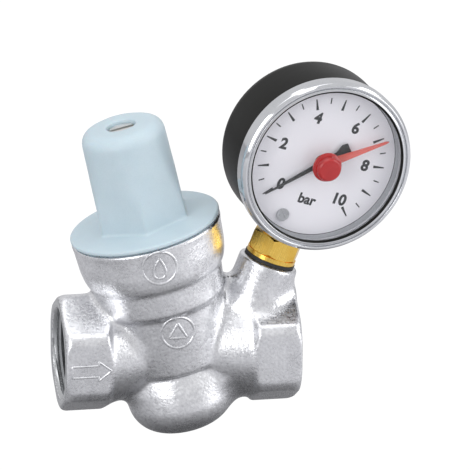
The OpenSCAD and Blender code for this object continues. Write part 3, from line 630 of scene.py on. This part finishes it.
def make_cover():
    """The moulded spring cover: flange, hexagonal foot running into a rounded tower, and its inside."""
    samples, top, top_edge, flange_foot = 192, 71.0, 4.0, 38.8
    corner_r, corner_at, pocket_r = 14.5, 25, 6.5
    turns = np.linspace(0, 2 * math.pi, samples, endpoint=False)
    flats = hexagon_radius(turns, corner_r, corner_at)
    pocket = hexagon_radius(turns, pocket_r, 0)

    def wall(height):
        cone = np.interp(height, (42, 48.5, 54, 59, 67), (15.2, 14.35, 13.35, 12.8, 12.5))
        return smooth_min(flats, cone + 0 * turns, 0.9)

    rows = [(19.5, 30.8), (19.5, 38.3), (19.7, 38.65), (20.0, flange_foot), (21.2, flange_foot),
            (21.3, 39.1), (21.8, 39.15), (22.1, 39.3), (22.2, 39.55), (22.2, 39.95), (22.1, 40.2),
            (21.85, 40.38), (21.5, 40.45)]
    rows += [(radius, 40.45 + (21.5 - radius) * 0.112) for radius in (19.5, 17.5, 16.2)]
    foot = wall(43)
    for k in range(6):
        part = math.radians(90) * k / 5
        rows.append((foot + 0.9 * (1 - math.sin(part)), 41.3 + 0.9 * (1 - math.cos(part))))
    rows += [(wall(height), height) for height in np.linspace(42.8, 67, 30)]
    for k in range(1, 9):
        part = math.radians(90) * k / 8
        rows.append((wall(67) - top_edge * (1 - math.cos(part)), 67 + top_edge * math.sin(part)))
    rows += [(6.4, top), (5.0, top), (4.55, 70.93), (4.36, 70.75), (4.3, 70.5), (4.3, 69.0),
             (pocket, 69.0), (pocket, 60.0), (10.3, 60.0), (10.3, 39.8), (16.4, 36.8), (16.4, 30.8)]
    vertices = []
    for radius, height in rows:
        radius = radius + 0 * turns
        vertices += list(np.stack([radius * np.cos(turns), radius * np.sin(turns),
                                   np.full(samples, height)], axis=1) * MM)
    add_piece("spring_cover_moulding", vertices, rings_to_faces(len(rows), samples), "cover_plastic",
              "housing", CARTRIDGE, 38, ("spring_cover",))


# ---------------------------------------------------------------- gauge
def finish_inside(piece, look, radius, front):
    """Another finish for the faces round the dial, within a radius and behind a front depth."""
    piece.data.materials.append(LOOKS[look])
    place = GAUGE.inverted() @ piece.matrix_world
    for face in piece.data.polygons:
        x, y, z = place @ face.center / MM
        if math.hypot(x, z) < radius and front < y < DIAL_FACE + 0.1:
            face.material_index = 1


def make_gauge_shell():
    """The rolled chrome bezel, the deep-drawn case and the knob of the set pointer."""
    bezel = [(22.9, -12.4, 0.1), (22.9, -12.75, 0.15), (23.6, -13.2, 0.25), (24.15, -13.0, 0.15),
             (24.3, -12.55, 0.1), (24.5, -12.6, 0.1), (24.7, -13.3, 0.2), (25.2, -13.3, 0.3),
             (25.85, -12.65, 0.6), (26.15, -11.8, 0.6), (26.15, -8.7, 0.3), (25.9, -8.3, 0.15),
             (25.25, -8.3, 0.05), (25.25, -12.4, 0.05)]
    ring = turned_solid("bezel_ring", bezel, "bezel_chrome", "housing", GAUGE, 160, True,
                        replaces=("gauge_bezel",))
    finish_inside(ring, "case_black", 23.35, -20)
    case = [(0, 13.2, 0), (20.6, 13.2, 3.5), (25.2, 9.2, 6), (25.2, -10.4, 0.2), (24.3, -10.4, 0.2),
            (24.3, -8.25, 0), (22.8, -8.25, 0), (22.8, -7.7, 0), (24.3, -7.7, 0), (24.3, 8.8, 5.2),
            (20.3, 12.3, 2.8), (0, 12.3, 0)]
    shell = turned_solid("case_shell", case, "case_black", "housing", GAUGE, 160, True,
                         replaces=("gauge_case",))
    hole = bpy.data.meshes.new("stem_hole")
    work = bmesh.new()
    bmesh.ops.create_cone(work, cap_ends=True, segments=48, radius1=4.85 * MM, radius2=4.85 * MM,
                          depth=8 * MM, matrix=GAUGE @ Matrix.Translation((0, 0, -24 * MM)))
    work.to_mesh(hole)
    work.free()
    cutter = bpy.data.objects.new("stem_hole", hole)
    bpy.context.scene.collection.objects.link(cutter)
    cut = shell.modifiers.new("stem_hole", "BOOLEAN")
    cut.operation, cut.solver, cut.object = "DIFFERENCE", "EXACT", cutter
    bpy.context.view_layer.update()
    shown = bpy.data.meshes.new_from_object(shell.evaluated_get(bpy.context.evaluated_depsgraph_get()))
    shell.modifiers.clear()
    shell.data = shown
    shown.set_sharp_from_angle(angle=math.radians(40))
    bpy.data.objects.remove(cutter)
    # painted light: the case's inner wall and dial seat take a pale grey where they lie in shade
    finish_inside(shell, "case_inside", 24.6, -12)
    knob = [(0, -15.6, 0), (3.1, -15.6, 0.6), (3.65, -14.9, 0.7), (3.65, -13.35, 0.15),
            (4.4, -13.1, 0.25), (4.4, -12.5, 0.1), (1.6, -12.5, 0.05), (1.6, -10.9, 0.05),
            (0.88, -10.9, 0), (0.88, -10.5, 0.05), (0, -10.5, 0)]
    turned_solid("knob_cap", knob, "signal_red", "set_pointer", GAUGE, 64, True,
                 replaces=("set_knob",))


def make_dial_print():
    """Scale marks, numerals and the unit, as a thin layer of ink on the dial."""
    face_y, ink = DIAL_FACE, 0.03
    scale_r, start, sweep, steps = 19.75, 225, 270, 20
    work = bmesh.new()

    def strip(direction, outer_r, inner_r, outer_half, inner_half):
        turn = math.radians(direction)
        ahead, side = Vector((math.cos(turn), math.sin(turn))), Vector((-math.sin(turn), math.cos(turn)))
        flat = [ahead * outer_r + side * outer_half, ahead * outer_r - side * outer_half,
                ahead * inner_r - side * inner_half, ahead * inner_r + side * inner_half]
        rings = [[work.verts.new((p.x * MM, y * MM, p.y * MM)) for p in flat]
                 for y in (face_y - ink, face_y + 0.01)]
        work.faces.new(rings[0])
        work.faces.new(rings[1][::-1])
        for k in range(4):
            work.faces.new((rings[0][k], rings[1][k], rings[1][(k + 1) % 4], rings[0][(k + 1) % 4]))

    def letters(text, size, x, z, bold):
        data = bpy.data.curves.new("letters", "FONT")
        data.body, data.size, data.offset = text, size * MM, bold * MM
        data.align_x, data.align_y, data.extrude = "CENTER", "CENTER", ink / 2 * MM
        data.resolution_u = 6
        made = bpy.data.objects.new("letters", data)
        bpy.context.scene.collection.objects.link(made)
        bpy.context.view_layer.update()
        shape = bpy.data.meshes.new_from_object(made.evaluated_get(bpy.context.evaluated_depsgraph_get()))
        shape.transform(Matrix.Translation((x * MM, (face_y - ink / 2) * MM, z * MM))
                        @ Matrix.Rotation(math.radians(90), 4, "X"))
        work.from_mesh(shape)
        bpy.data.objects.remove(made)

    for i in range(steps + 1):
        direction = start - sweep * i / steps
        if i % 2:
            strip(direction, scale_r, scale_r - 1.8, 0.17, 0.2)
        else:
            strip(direction, scale_r, scale_r - 3.4, 0.17, 0.42)
        if i % 4 == 0:
            turn = math.radians(direction)
            letters(str(i // 2), 4.6, 13.7 * math.cos(turn), 13.7 * math.sin(turn), 0.19)
    letters("bar", 4.2, 0, -12.2, 0.14)
    bmesh.ops.remove_doubles(work, verts=work.verts, dist=1e-7)
    bmesh.ops.recalc_face_normals(work, faces=work.faces)
    mesh = bpy.data.meshes.new("dial_print")
    work.to_mesh(mesh)
    work.free()
    vertices = [tuple(v.co) for v in mesh.vertices]
    faces = [tuple(p.vertices) for p in mesh.polygons]
    add_piece("dial_print", vertices, faces, "dial_print", "housing", GAUGE, 30)


# ---------------------------------------------------------------- springs and membranes inside
def make_adjusting_spring():
    """The wire of the adjusting spring, in two halves."""
    foot, top, wire_r, coil_r, coils, samples = 30.4, 55.5, 1.3, 7.8, 6.0, 40
    middle = (foot + top) / 2
    count = int(coils * samples)
    path = []
    for i in range(count + 1):
        part = i / count
        settle = np.interp(part, (0, 0.13, 0.87, 1), (0, 0.045, 0.955, 1))
        turn = 2 * math.pi * coils * part
        path.append((coil_r * math.cos(turn), coil_r * math.sin(turn),
                     foot + wire_r + (top - foot - 2 * wire_r) * settle))
    path = np.array(path)
    outward = path * (1, 1, 0) / coil_r
    half = count // 2
    for name, part, a, b, start, end, replaced in (
            ("adjusting_spring_lower", slice(0, half + 1), "stem_group", "housing", foot, middle - 3,
             ("adjusting_spring",)),
            ("adjusting_spring_upper", slice(half, count + 1), "housing", "spring_plate", middle + 3,
             top, ())):
        vertices, faces = swept(path[part] * MM, outward[part], wire_r * MM, wire_r * MM, 16, False)
        piece = add_piece(name, vertices, faces, "spring_steel", None, CARTRIDGE,
                          50, replaced)
        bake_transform(piece)


def make_diaphragm():
    """The rubber membrane, dished between its clamped rim and the plate on the stem."""
    outline = [(2.55, 27.4, 0), (11.3, 27.4, 1.5), (14.6, 29, 1.2), (19.45, 29, 0.1),
               (19.45, 30.2, 0.1), (14.2, 30.2, 1.5), (11.2, 28.6, 1.2), (2.55, 28.6, 0)]
    piece = turned_solid("diaphragm_membrane", outline, "rubber", None, CARTRIDGE, 96,
                         replaces=("diaphragm",))
    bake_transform(piece)


def make_bourdon_tube():
    """The curved measuring tube."""
    radius, half_wide, half_flat, middle_y, start, end = 17, 3, 1.1, 5, -30, 245
    turns = np.radians(np.linspace(start, end, 112))
    outward = np.stack([np.cos(turns), 0 * turns, np.sin(turns)], axis=1)
    path = outward * radius + np.array([0, middle_y, 0])
    vertices, faces = swept(path * MM, outward, half_wide * MM, half_flat * MM, 24, False)
    piece = add_piece("bourdon_tube_sweep", vertices, faces, "brass", None, GAUGE, 50,
                      ("bourdon_tube",))
    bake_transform(piece)


# ---------------------------------------------------------------- carried-over CAD nodes
def dress_cad_nodes():
    """Gives every CAD node the finish of its material slot, with a few of their own."""
    # the lens gasket takes the pale grey of case_inside, which is painted light
    own = {"adjusting_screw": "screw_zinc", "cover_insert": "cartridge_brass",
           "stem": "cartridge_brass", "obturator": "cartridge_brass", "set_pointer": "pointer_red",
           "lens_gasket": "case_inside", "dial_screw": "spring_steel"}
    slots = {part["node"]: part["material_slot"] for part in record["subparts"]}
    for name, thing in frame["nodes"].items():
        look = LOOKS[own.get(name, slots[name])]
        if not thing.data.materials:
            thing.data.materials.append(look)
        for slot in thing.material_slots:
            slot.link = "OBJECT"
            slot.material = look


# ---------------------------------------------------------------- stage and light
def mix_white(tree, room, white, output_type):
    """Shows the room to reflections and plain white to the picture's background."""
    seen = node(tree, "LightPath").outputs["Is Camera Ray"]
    mix = node(tree, "MixShader")
    tree.links.new(seen, mix.inputs["Fac"])
    tree.links.new(room, mix.inputs[1])
    tree.links.new(white, mix.inputs[2])
    output = next(n for n in tree.nodes if n.type == output_type)
    tree.links.new(mix.outputs["Shader"], output.inputs["Surface"])


def make_floor():
    """A sweep under the valve, with painted shadow darkening it beneath the valve and painted light making it
    paler to the right; white in the picture.
    """
    half = 3.0
    mesh = bpy.data.meshes.new("floor")
    mesh.from_pydata([(-half, -half, 0), (half, -half, 0), (half, half, 0), (-half, half, 0)], [],
                     [(0, 1, 2, 3)])
    floor = bpy.data.objects.new("floor", mesh)
    floor.location = (0.04, 0, -0.055)
    bpy.context.scene.collection.objects.link(floor)
    look = finish("floor_white", (0.57, 0.57, 0.585), (0.61, 0.61, 0.625), (0.7, 0.9),
                  grain=(3, 0.01), mottle_mm=60)
    tree = look.node_tree
    shader = next(n for n in tree.nodes if n.type == "BSDF_PRINCIPLED")
    place = node(tree, "TexCoord").outputs["Object"]
    # painted shadow: the floor's colour darkens towards the spot beneath the valve
    reach = node(tree, "VectorMath", operation="LENGTH")
    tree.links.new(place, reach.inputs[0])
    painted_shadow_fade = node(tree, "MapRange", {"From Min": 0.02, "From Max": 0.14, "To Min": 0.22, "To Max": 1})
    tree.links.new(reach.outputs["Value"], painted_shadow_fade.inputs["Value"])
    # painted light: the floor's colour grows paler towards the right
    parts = node(tree, "SeparateXYZ")
    tree.links.new(place, parts.inputs["Vector"])
    side = node(tree, "MapRange", {"From Min": -0.1, "From Max": 0.25, "To Min": 0.85, "To Max": 1.2})
    tree.links.new(parts.outputs["X"], side.inputs["Value"])
    both = node(tree, "Math", operation="MULTIPLY")
    tree.links.new(painted_shadow_fade.outputs["Result"], both.inputs[0])
    tree.links.new(side.outputs["Result"], both.inputs[1])
    shade = node(tree, "Mix", {"Factor": 1}, data_type="RGBA", blend_type="MULTIPLY")
    tree.links.new(shader.inputs["Base Color"].links[0].from_socket, shade.inputs["A"])
    tree.links.new(both.outputs["Value"], shade.inputs["B"])
    tree.links.new(shade.outputs["Result"], shader.inputs["Base Color"])
    white = node(tree, "Emission", {"Color": (1, 1, 1, 1), "Strength": 1.05})
    mix_white(tree, shader.outputs["BSDF"], white.outputs["Emission"], "OUTPUT_MATERIAL")
    mesh.materials.append(look)


def make_world():
    """A pale room: bright above, greyer towards the camera, with a white backdrop."""
    world = bpy.data.worlds.new("room")
    bpy.context.scene.world = world
    world.use_nodes = True
    tree = world.node_tree
    tree.nodes.clear()
    place = node(tree, "TexCoord").outputs["Generated"]
    parts = node(tree, "SeparateXYZ")
    tree.links.new(place, parts.inputs["Vector"])
    climb = node(tree, "MapRange", {"From Min": -1, "From Max": 1})
    tree.links.new(parts.outputs["Z"], climb.inputs["Value"])
    ramp = node(tree, "ValToRGB")
    stops = ((0, 0.5), (0.46, 0.52), (0.5, 0.66), (0.56, 0.72), (0.66, 0.74), (0.8, 0.76), (1, 0.8))
    while len(ramp.color_ramp.elements) < len(stops):
        ramp.color_ramp.elements.new(0.5)
    for element, (position, grey) in zip(ramp.color_ramp.elements, stops):
        element.position = position
        element.color = (grey, grey, grey * 1.02, 1)
    tree.links.new(climb.outputs["Result"], ramp.inputs["Fac"])
    room = node(tree, "Background", {"Strength": 1.0})
    tree.links.new(ramp.outputs["Color"], room.inputs["Color"])
    backdrop = node(tree, "Background", {"Color": (1, 1, 1, 1), "Strength": 1.05})
    node(tree, "OutputWorld")
    mix_white(tree, room.outputs["Background"], backdrop.outputs["Background"], "OUTPUT_WORLD")


def make_light(name, place, size, power, aim=(0.045, 0, 0.03), height=None):
    """A soft box at a place, facing the valve."""
    data = bpy.data.lights.new(name, "AREA")
    data.shape = "RECTANGLE"
    data.size, data.size_y, data.energy = size, height or size, power
    light = bpy.data.objects.new(name, data)
    light.location = place
    light.rotation_euler = (Vector(aim) - Vector(place)).to_track_quat("-Z", "Y").to_euler()
    bpy.context.scene.collection.objects.link(light)


def make_lights():
    """A large box above, one from the front left and a narrower one from the right."""
    make_light("top_box", (0.0, -0.1, 0.75), 0.6, 1.4)
    make_light("left_box", (-0.6, -0.65, 0.35), 0.4, 3.0, height=0.6)
    make_light("right_box", (0.75, -0.25, 0.25), 0.5, 2.3, height=0.7)


make_camera()
make_floor()
make_world()
make_lights()
dress_cad_nodes()
make_body()
make_port_threads()
make_marks()
make_cover()
make_gauge_shell()
make_dial_print()
make_adjusting_spring()
make_diaphragm()
make_bourdon_tube()
bpy.context.scene.view_settings.view_transform = "Standard"
